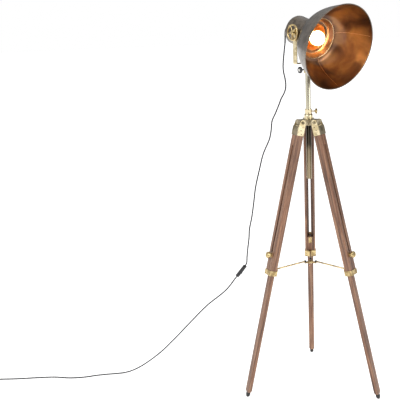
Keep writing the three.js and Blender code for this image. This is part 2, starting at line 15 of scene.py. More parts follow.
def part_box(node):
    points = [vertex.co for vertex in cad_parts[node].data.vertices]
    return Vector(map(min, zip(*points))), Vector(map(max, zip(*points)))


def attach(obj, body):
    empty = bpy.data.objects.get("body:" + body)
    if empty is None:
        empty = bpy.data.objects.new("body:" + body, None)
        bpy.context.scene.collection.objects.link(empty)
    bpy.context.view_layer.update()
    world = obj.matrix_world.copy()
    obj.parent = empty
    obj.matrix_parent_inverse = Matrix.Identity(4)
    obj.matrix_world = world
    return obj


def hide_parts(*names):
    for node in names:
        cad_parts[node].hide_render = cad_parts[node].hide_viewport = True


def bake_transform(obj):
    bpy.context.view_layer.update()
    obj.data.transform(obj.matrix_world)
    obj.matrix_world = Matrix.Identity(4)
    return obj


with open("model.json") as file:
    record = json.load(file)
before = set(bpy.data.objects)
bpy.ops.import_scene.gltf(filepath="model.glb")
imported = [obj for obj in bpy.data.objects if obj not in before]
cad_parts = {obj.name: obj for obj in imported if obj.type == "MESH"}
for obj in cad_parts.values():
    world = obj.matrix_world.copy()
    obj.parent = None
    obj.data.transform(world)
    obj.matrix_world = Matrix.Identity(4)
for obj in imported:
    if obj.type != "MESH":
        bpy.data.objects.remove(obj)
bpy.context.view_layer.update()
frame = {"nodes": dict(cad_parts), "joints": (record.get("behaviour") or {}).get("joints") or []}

MM = 0.001
JOINTS = {joint["name"]: joint for joint in frame["joints"]}
LEGS = (1, 2, 3)


# ---------------------------------------------------------------- local frames
def axes(origin, x, y):
    """Matrix from millimetres along x, y and their normal, about an origin in metres."""
    x, y = x.normalized(), y.normalized()
    turn = Matrix((x, y, x.cross(y))).transposed().to_4x4()
    return Matrix.Translation(origin) @ turn @ Matrix.Scale(MM, 4)


def shift(x=0.0, y=0.0, z=0.0):
    return Matrix.Translation((x, y, z))


post_low, post_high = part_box("post")
post_axis = (post_low + post_high) / 2
LAMP = axes(Vector((post_axis.x, post_axis.y, 0)), Vector((1, 0, 0)), Vector((0, 1, 0)))

UP = Vector((0, 0, 1))
TILT_AXIS = Vector(JOINTS["shade_tilt"]["axis"])
TILT_HEIGHT = JOINTS["shade_tilt"]["pos_m"][2] / MM
FORWARD = TILT_AXIS.cross(UP)
YOKE = axes(LAMP.translation, FORWARD, TILT_AXIS)

DROOP = math.radians(14.6)
HEAD_DROP = 10
HEAD = YOKE @ shift(z=TILT_HEIGHT) @ Matrix.Rotation(DROOP, 4, "Y")
OPTICS = HEAD @ shift(z=-HEAD_DROP)


def leg_frame(number):
    """X away from the post, Y across the leg, Z up along it, from the hinge."""
    across = Vector(JOINTS[f"leg_{number}_fold"]["axis"])
    up = -Vector(JOINTS[f"leg_{number}_length"]["axis"])
    return axes(Vector(JOINTS[f"leg_{number}_fold"]["pos_m"]), across.cross(up), across)


LEG = {number: leg_frame(number) for number in LEGS}

# ---------------------------------------------------------------- sizes shared with the CAD model
POST_RADIUS = 11
CAN = {"radius": 60, "wall": 1.5, "back": -62, "front": 50}
CAP_BACK = -78
NECK = {"radius": 86, "at": 71}
MOUTH = {"radius": 174.5, "at": 207}
BOWL_POWER = 0.47
SHEET = 1.4
YOKE_INSIDE = 64
LEG_DEPTH = 30
LEG_WIDTH = 46
FERRULE = {"top": 651}
LOCK_DISTANCE = 585
STILE = {"depth": 20, "outer": 6, "top": 572}
BALL = {"radius": 5.5, "from_axis": 27, "height": 578}
ROD = {"radius": 3.4, "neck": 2.6}
POST = {"bottom": 950, "top": 1425, "wall": 1.6}
YOKE_BASE = 1445
SLEEVE = {"radius": 17, "bottom": 1404, "top": 1430}
SLEEVE_KNOB_HEIGHT = 1419
THUMBSCREW_HEIGHT = 1242
HUB = {"top": 1209, "collar_split": 1230, "collar_top": 1252}
SWITCH_UP = Matrix(((0, 0, -1, 0), (0, 1, 0, 0), (1, 0, 0, 0), (0, 0, 0, 1)))  # X looks along the switch's Z
FLEX_RADIUS = 3
GLAND_TIP = -106
COIL = {"x": -1565, "y": -72, "middle": 33}
PLUG = {"ahead": 23, "height": 8.2}
GAP = 0.3

# ---------------------------------------------------------------- node helpers
class Shader:
    """A material's node tree, with the few nodes that the lamp's finishes need."""

    def __init__(self, name):
        self.material = bpy.data.materials.new(name)
        self.material.use_nodes = True
        self.nodes = self.material.node_tree.nodes
        self.links = self.material.node_tree.links
        self.surface = self.nodes["Principled BSDF"]

    def node(self, kind, **settings):
        made = self.nodes.new(kind)
        for key, value in settings.items():
            setattr(made, key, value)
        return made

    def set(self, **values):
        """Plain values on the surface shader; underscores stand for spaces."""
        for key, value in values.items():
            self.surface.inputs[key.replace("_", " ")].default_value = value

    def link(self, output, target):
        self.links.new(output, target)

    def coordinates(self, scale=(1, 1, 1), turn=None):
        """The piece's own coordinates in millimetres, turned into a local frame, then scaled."""
        at = self.node("ShaderNodeTexCoord").outputs["Object"]
        if turn is not None:
            rotate = self.node("ShaderNodeMapping")
            rotate.inputs["Rotation"].default_value = turn.to_3x3().normalized().inverted().to_euler()
            self.link(at, rotate.inputs["Vector"])
            at = rotate.outputs["Vector"]
        stretch = self.node("ShaderNodeMapping")
        stretch.inputs["Scale"].default_value = [s / MM for s in scale]
        self.link(at, stretch.inputs["Vector"])
        return stretch.outputs["Vector"]

    def noise(self, at, size, detail=4.0, roughness=0.55, distortion=0.0):
        """Noise whose features measure about size millimetres."""
        made = self.node("ShaderNodeTexNoise")
        made.inputs["Scale"].default_value = 1 / size
        made.inputs["Detail"].default_value = detail
        made.inputs["Roughness"].default_value = roughness
        made.inputs["Distortion"].default_value = distortion
        self.link(at, made.inputs["Vector"])
        return made.outputs["Fac"]

    def ramp(self, value, stops):
        """Colour ramp: stops are (position, (r, g, b))."""
        made = self.node("ShaderNodeValToRGB")
        elements = made.color_ramp.elements
        while len(elements) < len(stops):
            elements.new(0.5)
        for element, (position, colour) in zip(elements, stops):
            element.position = position
            element.color = (*colour, 1)
        self.link(value, made.inputs["Fac"])
        return made.outputs["Color"]

    def remap(self, value, low, high, start=0.0, end=1.0):
        made = self.node("ShaderNodeMapRange")
        made.inputs["From Min"].default_value = low
        made.inputs["From Max"].default_value = high
        made.inputs["To Min"].default_value = start
        made.inputs["To Max"].default_value = end
        self.link(value, made.inputs["Value"])
        return made.outputs["Result"]

    def mix(self, factor, first, second, blend="MIX"):
        made = self.node("ShaderNodeMix", data_type="RGBA", blend_type=blend)
        for socket, value in ((0, factor), (6, first), (7, second)):
            if isinstance(value, bpy.types.NodeSocket):
                self.link(value, made.inputs[socket])
            else:
                made.inputs[socket].default_value = value if socket == 0 else (*value, 1)
        return made.outputs[2]

    def bump(self, height, distance, strength=1.0):
        """Relief of a height in millimetres."""
        made = self.node("ShaderNodeBump")
        made.inputs["Distance"].default_value = distance * MM
        made.inputs["Strength"].default_value = strength
        self.link(height, made.inputs["Height"])
        self.link(made.outputs["Normal"], self.surface.inputs["Normal"])

    def colour(self, output):
        self.link(output, self.surface.inputs["Base Color"])

    def roughness(self, output):
        self.link(output, self.surface.inputs["Roughness"])


# ---------------------------------------------------------------- finishes
def wood(name, turn, offset):
    """Reddish-brown hardwood: long streaks, darker growth bands and fine open pores along the grain."""
    s = Shader(name)
    along = s.coordinates((1, 1, 0.045), turn)
    place = s.node("ShaderNodeVectorMath", operation="ADD")
    place.inputs[1].default_value = (offset, offset * 0.7, 0)
    s.link(along, place.inputs[0])
    grain = place.outputs["Vector"]
    streaks = s.noise(grain, 9, detail=6, roughness=0.62, distortion=0.8)
    bands = s.noise(grain, 26, detail=2, distortion=1.6)
    pores = s.noise(grain, 0.9, detail=2)
    body = s.ramp(streaks, [
        (0.28, (0.045, 0.02, 0.012)),
        (0.42, (0.15, 0.07, 0.04)),
        (0.54, (0.26, 0.135, 0.078)),
        (0.68, (0.38, 0.225, 0.138)),
    ])
    tone = s.ramp(bands, [(0.3, (0.5, 0.45, 0.44)), (0.5, (0.98, 0.95, 0.93)), (0.7, (1.15, 1.02, 0.92))])
    toned = s.mix(1.0, body, tone, "MULTIPLY")
    pore_tone = s.ramp(pores, [(0.36, (0.5, 0.42, 0.38)), (0.46, (1, 1, 1))])
    s.colour(s.mix(0.6, toned, pore_tone, "MULTIPLY"))
    s.roughness(s.remap(streaks, 0.3, 0.7, 0.5, 0.34))
    s.set(Specular_IOR_Level=0.5, Coat_Weight=0.12, Coat_Roughness=0.25)
    s.bump(pores, 0.12, 0.5)
    return s.material


def metal(name, colour, dark, roughness, wear=0.5, size=14, metallic=1.0, brushed=False, **values):
    """Bare or aged metal: cloudy patina, faint scratches and uneven gloss."""
    s = Shader(name)
    at = s.coordinates()
    cloud = s.noise(at, size, detail=5, roughness=0.6)
    grain = s.noise(at, 1.3, detail=3)
    s.colour(s.ramp(cloud, [(0.5 - 0.22 * wear, dark), (0.5 + 0.1 * wear, colour)]))
    s.roughness(s.remap(cloud, 0.3, 0.7, min(1.0, roughness + 0.16 * wear), roughness))
    s.set(Metallic=metallic, **values)
    s.bump(grain, 0.03 if brushed else 0.015, 0.35)
    return s.material


def bowl_inside(name):
    """Copper lacquer inside the bowl: brown heat clouds over orange."""
    s = Shader(name)
    at = s.coordinates((1, 1, 1), OPTICS)
    clouds = s.noise(at, 85, detail=2.5, roughness=0.45, distortion=0.5)
    spots = s.noise(at, 16, detail=3)
    tone = s.ramp(clouds, [
        (0.32, (0.045, 0.017, 0.007)),
        (0.5, (0.13, 0.055, 0.02)),
        (0.68, (0.3, 0.135, 0.042)),
    ])
    mottle = s.ramp(spots, [(0.3, (0.8, 0.76, 0.72)), (0.6, (1.04, 1.0, 0.96))])
    s.colour(s.mix(0.4, tone, mottle, "MULTIPLY"))
    s.roughness(s.remap(spots, 0.3, 0.7, 0.4, 0.3))
    s.set(Metallic=0.9, Coat_Weight=0.5, Coat_Roughness=0.04)
    s.bump(spots, 0.03, 0.25)
    return s.material


def plastic(name, colour, roughness, grain=0.02):
    s = Shader(name)
    at = s.coordinates()
    fine = s.noise(at, 0.8, detail=2)
    broad = s.noise(at, 18, detail=3)
    lighter = [min(1.0, c * 1.5 + 0.006) for c in colour]
    s.colour(s.ramp(broad, [(0.3, colour), (0.75, lighter)]))
    s.roughness(s.remap(broad, 0.3, 0.7, roughness, roughness + 0.12))
    s.bump(fine, grain, 0.5)
    return s.material


def glowing_glass(name):
    """Frosted, lit envelope."""
    s = Shader(name)
    s.set(Base_Color=(1, 0.93, 0.82, 1), Roughness=0.25, Transmission_Weight=0.2, Emission_Strength=2.0)
    from_holder = s.node("ShaderNodeVectorMath", operation="DOT_PRODUCT")
    s.link(s.coordinates(), from_holder.inputs[0])
    forward = (OPTICS.to_3x3() @ Vector((1, 0, 0))).normalized()
    from_holder.inputs[1].default_value = forward
    neck = OPTICS @ Vector((22, 0, 0)) / MM
    start = neck.dot(forward)
    share = s.remap(from_holder.outputs["Value"], start, start + 70)
    glow = s.ramp(share, [(0.0, (0.75, 0.3, 0.08)), (0.35, (1.0, 0.62, 0.26)), (0.8, (1.0, 0.9, 0.72))])
    s.link(glow, s.surface.inputs["Emission Color"])
    return s.material


def post_finish_with_painted_shade(name):
    """Silvered tube with painted shade: darker and browner below the hub, where the hub and the legs shade
    it, and darkest just under the hub.
    """
    s = Shader(name)
    height = s.node("ShaderNodeSeparateXYZ")
    s.link(s.coordinates(), height.inputs["Vector"])
    share = s.remap(height.outputs["Z"], POST["bottom"], POST["top"])
    # Painted shade: the dark lower stops stand for the shade under the hub, not the tube's own colour.
    s.colour(s.ramp(share, [
        (0.0, (0.3, 0.24, 0.15)),
        (0.26, (0.24, 0.19, 0.12)),
        (0.32, (0.06, 0.05, 0.035)),
        (0.5, (0.05, 0.042, 0.03)),
        (0.54, (0.52, 0.48, 0.36)),
        (1.0, (0.6, 0.56, 0.44)),
    ]))
    cloud = s.noise(s.coordinates(), 40)
    s.roughness(s.remap(cloud, 0.3, 0.7, 0.24, 0.15))
    s.set(Metallic=1.0)
    return s.material


GLAZE = plastic("porcelain_glaze", (0.78, 0.74, 0.66), 0.25)
AGED_BRASS = metal("aged_brass_metal", (0.6, 0.46, 0.23), (0.3, 0.21, 0.095), 0.24, wear=0.45, size=24)
PALE_BRASS = metal("polished_brass_metal", (0.75, 0.64, 0.42), (0.55, 0.45, 0.26), 0.2, wear=0.25,
                   size=30)
OLIVE_BRASS = metal("dull_brass_metal", (0.4, 0.34, 0.23), (0.22, 0.18, 0.11), 0.36, wear=0.4, size=30)
# Post metal with painted shade below the hub.
POST_METAL_WITH_PAINTED_SHADE = post_finish_with_painted_shade("post_metal_painted_shade")
BRONZE = metal("bronze_shell", (0.17, 0.14, 0.11), (0.1, 0.08, 0.062), 0.26, wear=0.3, size=45,
               Coat_Weight=0.3)
COPPER = bowl_inside("copper_reflector")
# Bright orange metal for the can's inside: partly the reflector's own colour, partly painted warm light from
# the bulb.
BULB_LIT_GOLD_INSIDE = metal("warm_reflector_painted_bulb_light", (0.85, 0.5, 0.2), (0.6, 0.3, 0.1), 0.3, wear=0.4, size=30)
BLACK = plastic("black_moulding", (0.012, 0.012, 0.014), 0.36)
RUBBER = plastic("black_rubber_foot", (0.016, 0.015, 0.014), 0.6, grain=0.05)
SHEATH = plastic("flex_sheath", (0.016, 0.016, 0.018), 0.42)
STEEL = metal("pin_metal", (0.75, 0.74, 0.7), (0.5, 0.48, 0.44), 0.2, wear=0.3)
SEAM = metal("seam_copper", (0.62, 0.3, 0.12), (0.4, 0.17, 0.06), 0.3, wear=0.4)
GLASS = glowing_glass("lit_glass")
WOODS = {number: wood(f"leg_{number}_wood", LEG[number], 40.0 * number) for number in LEGS}


# ---------------------------------------------------------------- mesh helpers
def finish_mesh(name, mesh, local, materials, body, replaces=(), sharp=35):
    """Object from a mesh in a local frame: smooth but for edges over the sharp angle, riding on a body."""
    mesh.transform(local)
    mesh.update()
    for polygon in mesh.polygons:
        polygon.use_smooth = True
    mesh.set_sharp_from_angle(angle=math.radians(sharp))
    for material in materials:
        mesh.materials.append(material)
    piece = bpy.data.objects.new(name, mesh)
    bpy.context.scene.collection.objects.link(piece)
    if body is not None:
        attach(piece, body)
    if replaces:
        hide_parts(*replaces)
    return piece


def rounded(profile, radius, steps=3):
    """The same line with each inner corner replaced by a small curve."""
    points = [Vector(p) for p in profile]
    made = [points[0]]
    for before, corner, after in zip(points, points[1:], points[2:]):
        into, out = before - corner, after - corner
        reach = min(radius, into.length * 0.45, out.length * 0.45)
        start = corner + into.normalized() * reach
        end = corner + out.normalized() * reach
        for i in range(steps + 1):
            t = i / steps
            made.append(start * (1 - t) ** 2 + corner * (2 * t * (1 - t)) + end * t ** 2)
    made.append(points[-1])
    return [tuple(p) for p in made]


AXIS_TURN = {
    "z": Matrix.Identity(3),
    "x": Matrix(((0, 0, 1), (1, 0, 0), (0, 1, 0))),
    "y": Matrix(((0, 1, 0), (0, 0, 1), (1, 0, 0))),
}


def add_turned(bm, profile, axis="z", segments=48, material=0, place=None):
    """Solid of revolution about an axis: profile points are (along, radius); a closed profile ends
    where it starts, and an open one has its ends on the axis."""
    turn = AXIS_TURN[axis]
    place = place or Matrix.Identity(4)
    closed = (Vector(profile[0]) - Vector(profile[-1])).length < 1e-6
    rings = []
    for along, radius in profile[:-1] if closed else profile:
        if radius < 1e-4:
            rings.append([bm.verts.new(place @ (turn @ Vector((0, 0, along))))])
            continue
        rings.append([
            bm.verts.new(place @ (turn @ Vector((
                radius * math.cos(2 * math.pi * i / segments),
                radius * math.sin(2 * math.pi * i / segments),
                along,
            ))))
            for i in range(segments)
        ])
    pairs = list(zip(rings, rings[1:]))
    if closed:
        pairs.append((rings[-1], rings[0]))
    for first, second in pairs:
        for i in range(segments):
            j = (i + 1) % segments
            corners = [first[i % len(first)], first[j % len(first)]]
            corners += [second[j % len(second)], second[i % len(second)]]
            unique = list(dict.fromkeys(corners))
            if len(unique) > 2:
                bm.faces.new(unique).material_index = material
    return bm


def add_box(bm, size, place, bevel=0.5, material=0):
    """Box centred on place, with its edges rounded."""
    made = bmesh.ops.create_cube(bm, size=1.0, matrix=place @ Matrix.Diagonal((*size, 1)))
    faces = {face for vertex in made["verts"] for face in vertex.link_faces}
    for face in faces:
        face.material_index = material
    edges = list({edge for face in faces for edge in face.edges})
    if bevel:
        bmesh.ops.bevel(bm, geom=edges, offset=bevel, segments=2, affect="EDGES", profile=0.5)
    return bm


def add_prism(bm, near, far):
    """Closed solid between two matching outlines."""
    near = [bm.verts.new(point) for point in near]
    far = [bm.verts.new(point) for point in far]
    bm.faces.new(near)
    bm.faces.new(far)
    for i in range(len(near)):
        j = (i + 1) % len(near)
        bm.faces.new([near[i], near[j], far[j], far[i]])
    return bm


def add_screw(bm, place, radius=3.0, height=1.0, material=0):
    """Countersunk screw head with a slot, its face looking along the place's X axis."""
    dome = [(-0.4, 0), (-0.4, radius), (height * 0.5, radius), (height, radius * 0.55), (height, 0)]
    add_turned(bm, rounded(dome, 0.4), "x", 20, material, place)
    add_box(bm, (0.5, radius * 1.5, 0.7), place @ shift(height), 0, material + 1)
    return bm


def solid(bm, name, local, materials, body, replaces=(), sharp=35):
    bmesh.ops.recalc_face_normals(bm, faces=bm.faces)
    mesh = bpy.data.meshes.new(name)
    bm.to_mesh(mesh)
    bm.free()
    return finish_mesh(name, mesh, local, materials, body, replaces, sharp)


def turned(name, profile, local, material, body, axis="z", replaces=(), segments=48, soften=0.8):
    bm = bmesh.new()
    add_turned(bm, rounded(profile, soften), axis, segments)
    return solid(bm, name, local, [material], body, replaces)


def dress(node, material, bevel=0.6, sharp=30, other=None, where=None, local=None):
    """A CAD node keeps its shape, gets its finish, and has its edges eased. Faces for which
    where(centre, normal) holds, in the local frame's millimetres, get the other finish."""
    piece = frame["nodes"][node]
    piece.data.materials.clear()
    piece.data.materials.append(material)
    if other is not None:
        piece.data.materials.append(other)
        to_local = local.inverted()
        for polygon in piece.data.polygons:
            normal = (to_local.to_3x3() @ polygon.normal).normalized()
            polygon.material_index = int(where(to_local @ polygon.center, normal))
    if "custom_normal" in piece.data.attributes:
        piece.data.attributes.remove(piece.data.attributes["custom_normal"])
    for polygon in piece.data.polygons:
        polygon.use_smooth = True
    weld = piece.modifiers.new("weld", "WELD")
    weld.merge_threshold = 0.01 * MM
    ease = piece.modifiers.new("ease", "BEVEL")
    ease.width = bevel * MM
    ease.segments = 2
    ease.limit_method = "ANGLE"
    ease.angle_limit = math.radians(sharp)
    normals = piece.modifiers.new("normals", "WEIGHTED_NORMAL")
    normals.keep_sharp = True
    return piece


# ---------------------------------------------------------------- camera, floor and light
# Brightness round the room, from -X through -Y, where the camera stands, to +X and +Y.
ROOM = [
    (0.0, 0.6), (0.02, 1.0), (0.165, 1.0), (0.19, 0.2), (0.32, 0.2), (0.335, 1.0),
    (0.435, 1.0), (0.46, 0.2), (0.6, 0.16), (0.82, 0.25), (0.87, 0.65), (1.0, 0.6),
]


def make_camera():
    """Stands in front of the lamp and above it, looking a little down and left."""
    distance, height = 3600, 1714.8
    yaw, pitch, roll = 0.133, 0.231, -0.045
    forward = Vector((-math.sin(yaw) * math.cos(pitch), math.cos(yaw) * math.cos(pitch), -math.sin(pitch)))
    right = Vector((math.cos(yaw), math.sin(yaw), 0))
    up = right.cross(forward)
    tilted_right = right * math.cos(roll) + up * math.sin(roll)
    tilted_up = up * math.cos(roll) - right * math.sin(roll)
    camera = bpy.data.objects.new("camera", bpy.data.cameras.new("camera"))
    camera.data.lens = 75.78
    camera.data.sensor_width = 36
    camera.data.clip_end = 50
    turn = Matrix((tilted_right, tilted_up, -forward)).transposed().to_4x4()
    camera.matrix_world = Matrix.Translation(LAMP @ Vector((0, -distance, height))) @ turn
    bpy.context.scene.collection.objects.link(camera)
    bpy.context.scene.camera = camera


def make_floor():
    mesh = bpy.data.meshes.new("floor")
    half = 30
    corners = [(-half, -half, 0), (half, -half, 0), (half, half, 0), (-half, half, 0)]
    mesh.from_pydata(corners, [], [(0, 1, 2, 3)])
    floor = bpy.data.objects.new("floor", mesh)
    s = Shader("pale_floor")
    s.set(Base_Color=(0.93, 0.93, 0.93, 1), Roughness=0.7, Specular_IOR_Level=0.1)
    s.set(Emission_Color=(1, 1, 1, 1), Emission_Strength=0.62)
    mesh.materials.append(s.material)
    bpy.context.scene.collection.objects.link(floor)


def make_world():
    """Studio: the background is white, and the metal mirrors two bright panels in a dim room."""
    world = bpy.data.worlds.new("studio")
    bpy.context.scene.world = world
    world.use_nodes = True
    nodes, links = world.node_tree.nodes, world.node_tree.links
    coordinates = nodes.new("ShaderNodeTexCoord")
    separate = nodes.new("ShaderNodeSeparateXYZ")
    links.new(coordinates.outputs["Generated"], separate.inputs["Vector"])
    turn = nodes.new("ShaderNodeMath")
    turn.operation = "ARCTAN2"
    links.new(separate.outputs["Y"], turn.inputs[0])
    links.new(separate.outputs["X"], turn.inputs[1])
    share = nodes.new("ShaderNodeMapRange")
    share.inputs["From Min"].default_value = -math.pi
    share.inputs["From Max"].default_value = math.pi
    links.new(turn.outputs["Value"], share.inputs["Value"])
    ring = nodes.new("ShaderNodeValToRGB")
    elements = ring.color_ramp.elements
    while len(elements) < len(ROOM):
        elements.new(0.5)
    for element, (position, value) in zip(elements, ROOM):
        element.position = position
        element.color = (value, value, value, 1)
    links.new(share.outputs["Result"], ring.inputs["Fac"])
    height = nodes.new("ShaderNodeMapRange")
    height.inputs["From Min"].default_value = 0.2
    height.inputs["From Max"].default_value = 0.7
    links.new(separate.outputs["Z"], height.inputs["Value"])
    ceiling = nodes.new("ShaderNodeMix")
    ceiling.data_type = "RGBA"
    links.new(height.outputs["Result"], ceiling.inputs[0])
    links.new(ring.outputs["Color"], ceiling.inputs[6])
    ceiling.inputs[7].default_value = (0.8, 0.8, 0.8, 1)
    paths = nodes.new("ShaderNodeLightPath")
    mix = nodes.new("ShaderNodeMix")
    mix.data_type = "RGBA"
    links.new(paths.outputs["Is Camera Ray"], mix.inputs[0])
    links.new(ceiling.outputs[2], mix.inputs[6])
    mix.inputs[7].default_value = (1, 1, 1, 1)
    background = nodes["Background"]
    links.new(mix.outputs[2], background.inputs["Color"])
    background.inputs["Strength"].default_value = 1.0


def make_area(name, place, aim, size, power):
    light = bpy.data.objects.new(name, bpy.data.lights.new(name, "AREA"))
    light.data.energy = power
    light.data.size = size
    light.location = LAMP @ Vector(place)
    light.rotation_euler = (LAMP @ Vector(aim) - light.location).to_track_quat("-Z", "Y").to_euler()
    bpy.context.scene.collection.objects.link(light)


def make_lights():
    make_area("key_light", (-2200, -2600, 2900), (0, 0, 900), 1.6, 45)
    make_area("fill_light", (2600, -1600, 1700), (0, 0, 900), 1.4, 18)
    lamp = bpy.data.objects.new("bulb_light", bpy.data.lights.new("bulb_light", "POINT"))
    lamp.data.energy = 2.0
    lamp.data.color = (1.0, 0.72, 0.42)
    lamp.data.shadow_soft_size = 0.026
    lamp.location = OPTICS @ Vector((68, 0, 0))
    bpy.context.scene.collection.objects.link(lamp)
    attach(lamp, "head")


bpy.context.scene.view_settings.view_transform = "Standard"
make_camera()
make_floor()
make_world()
make_lights()

# ---------------------------------------------------------------- flex
# Knots from the post's axis: from the gland to the switch, then from the switch to the coil.
HANGING = [
    (-68.1, 80.6, 1592.2), (-72.8, 86.2, 1594.1), (-84.4, 99.8, 1591.9), (-92, 108.8, 1581.2),
    (-94.3, 111.4, 1567), (-94.6, 109.5, 1546), (-96, 106.5, 1522), (-99.5, 104, 1494),
    (-103.5, 104, 1459), (-105.8, 104, 1424), (-104, 104, 1400), (-99, 104, 1376),
    (-96, 104, 1351), (-97.5, 104, 1329), (-105, 104, 1308), (-117, 103, 1287),
    (-127, 103, 1262), (-143, 102, 1225), (-159, 101, 1190), (-164, 100, 1150),
    (-172, 100, 1112), (-202, 98, 1043), (-221, 97, 972), (-240, 96, 893),
    (-250, 95, 825), (-261, 94, 755), (-273, 94, 700), (-277, 94, 655),
    (-284, 93, 605), (-288.5, 93, 566), (-290.5, 93, 541), (-296, 93, 527),
]
RUN = [
    (-339, 90, 473), (-354, 89, 454), (-372, 88, 430), (-394, 86, 406), (-420, 85, 384),
    (-482, 81, 335), (-580, 75, 236), (-647, 71, 167), (-714, 67, 103), (-788, 63, 48),
    (-826, 60, 26), (-860, 57, 11.5), (-893, 52, 4.6), (-930, 44, 3.3), (-975, 34, 3.3),
    (-1020, 21, 3.3), (-1075, 0, 3.3), (-1142, -10, 3.3), (-1218, -4, 3.3), (-1297, -12, 3.3),
    (-1378, -25, 3.3), (-1455, -33, 3.3), (-1510, -36, 3.3), (-1543.2, -36, 3.3),
]
HEAD_KNOTS = 7
YOKE_KNOTS = 11


def curve_through(knots, step=4.0):
    """Centripetal Catmull-Rom curve through the knots, as points about step millimetres apart."""
    points = [Vector(k) for k in knots]
    points = [points[0] * 2 - points[1], *points, points[-1] * 2 - points[-2]]
    made = []
    for a, b, c, d in zip(points, points[1:], points[2:], points[3:]):
        t1 = (b - a).length ** 0.5
        t2 = t1 + (c - b).length ** 0.5
        t3 = t2 + (d - c).length ** 0.5
        count = max(2, round((c - b).length / step))
        for i in range(count):
            t = t1 + (t2 - t1) * i / count
            ab = a + (b - a) * (t / t1)
            bc = b + (c - b) * ((t - t1) / (t2 - t1))
            cd = c + (d - c) * ((t - t2) / (t3 - t2))
            abc = ab + (bc - ab) * (t / t2)
            bcd = bc + (cd - bc) * ((t - t1) / (t3 - t1))
            made.append(abc + (bcd - abc) * ((t - t1) / (t2 - t1)))
    made.append(points[-2])
    return made


def step_between(value, start, end):
    share = min(1.0, max(0.0, (value - start) / (end - start)))
    return share * share * (3 - 2 * share)


def coil_points():
    """Turns of the stored flex: two on the floor, then back out over them, to the plug."""
    lay = 2 * FLEX_RADIUS + 0.1
    outer = COIL["middle"] + lay / 2
    turns = 3.25
    count = 110
    made = []
    for i in range(1, count + 1):
        turn = turns * i / count
        radius = outer - lay * (step_between(turn, 0.76, 0.97) - step_between(turn, 2.76, 2.97))
        height = FLEX_RADIUS + GAP + lay * step_between(turn, 1.76, 1.97)
        angle = math.pi / 2 + 2 * math.pi * turn
        x = COIL["x"] + radius * math.cos(angle)
        y = COIL["y"] + radius * math.sin(angle)
        made.append(Vector((x, y, height)))
    last = made[-1]
    for i in range(1, 7):
        share = i / 6
        rise = (PLUG["height"] - last.z) * step_between(share, 0, 1)
        made.append(Vector((last.x, COIL["y"] - PLUG["ahead"] * share, last.z + rise)))
    return made


def tube(name, points, radius, sides=14):
    """Round tube along points of the lamp's frame, with closed ends."""
    bm = bmesh.new()
    side = Vector((1, 0, 0))
    rings = []
    for i, point in enumerate(points):
        ahead = points[min(i + 1, len(points) - 1)] - points[max(i - 1, 0)]
        ahead.normalize()
        side = (side - ahead * side.dot(ahead)).normalized()
        other = ahead.cross(side)
        rings.append([
            bm.verts.new(
                point
                + side * (radius * math.cos(2 * math.pi * k / sides))
                + other * (radius * math.sin(2 * math.pi * k / sides))
            )
            for k in range(sides)
        ])
    for first, second in zip(rings, rings[1:]):
        for k in range(sides):
            m = (k + 1) % sides
            bm.faces.new([first[k], first[m], second[m], second[k]])
    bm.faces.new(rings[0])
    bm.faces.new(rings[-1])
    return bm


def flex(name, points, node, body=None, blend=None, replaces=()):
    """One stretch of the flex, in place of its CAD node; blend holds the two bodies that it joins."""
    bm = tube(name, points, FLEX_RADIUS)
    piece = solid(bm, name, LAMP, [SHEATH], body, (node, *replaces))
    if blend is not None:
        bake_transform(piece)
    return piece


SWITCH_TOP = Vector(HANGING[-1])
SWITCH_END = Vector(RUN[0])
ALONG = (SWITCH_END - SWITCH_TOP).normalized()
ACROSS = Vector((0.78, -0.1, -0.62)).cross(ALONG).normalized()
SWITCH_TURN = Matrix((ALONG, ACROSS, ALONG.cross(ACROSS))).transposed().to_4x4()
SWITCH = LAMP @ shift(*((SWITCH_TOP + SWITCH_END) / 2)) @ SWITCH_TURN


def make_switch():
    """Two moulded halves with a seam, ribbed sleeves at both ends, two screws and the surround of the rocker.
    """
    end = (SWITCH_END - SWITCH_TOP).length / 2 - 1.2
    half = 30
    section = [(-12, -5), (-8, -8.5), (8, -8.5), (12, -5), (12, 4), (8, 8), (-8, 8), (-12, 4)]
    bm = bmesh.new()
    for low, high in ((-99, -0.9), (-0.5, 99)):
        outline = [(y, min(max(z, low), high)) for y, z in section]
        add_prism(bm, [(-half, y, z) for y, z in outline], [(half, y, z) for y, z in outline])
    bmesh.ops.remove_doubles(bm, verts=bm.verts, dist=0.001)
    bmesh.ops.bevel(bm, geom=bm.edges[:], offset=0.9, segments=3, affect="EDGES", profile=0.5)
    body = solid(bm, "switch_case", SWITCH, [BLACK], "hub", ["switch_body"])
    bm = bmesh.new()
    rib_count = 5
    pitch = (end - half + 1) / rib_count
    for side in (-1, 1):
        ribs = []
        for i in range(rib_count):
            start = half - 1 + pitch * i
            size = 5.5 - 0.34 * i
            ribs += [(start, size), (start + 0.7 * pitch, size), (start + 0.75 * pitch, size - 0.6)]
        profile = [(half - 1, 0), *ribs, (end, 3.5), (end, 0)]
        add_turned(bm, [(a * side, r) for a, r in profile], "x", 24)
    sleeves = solid(bm, "switch_sleeves", SWITCH, [BLACK], "hub")
    bm = bmesh.new()
    for x in (-22, 22):
        add_screw(bm, SWITCH_UP @ shift(8, 0, -x), 2.4, 0.5)
    screws = solid(bm, "switch_screws", SWITCH, [STEEL, BLACK], "hub")
    bm = bmesh.new()
    for side in (-1, 1):
        add_box(bm, (1.6, 15, 1.2), shift(11.2 * side, 0, 8.2), 0.35)
    for side in (-1, 1):
        add_box(bm, (24, 1.4, 1.2), shift(0, 6.9 * side, 8.2), 0.35)
    surround = solid(bm, "switch_surround", SWITCH, [BLACK], "hub")
    return [body, sleeves, screws, surround]


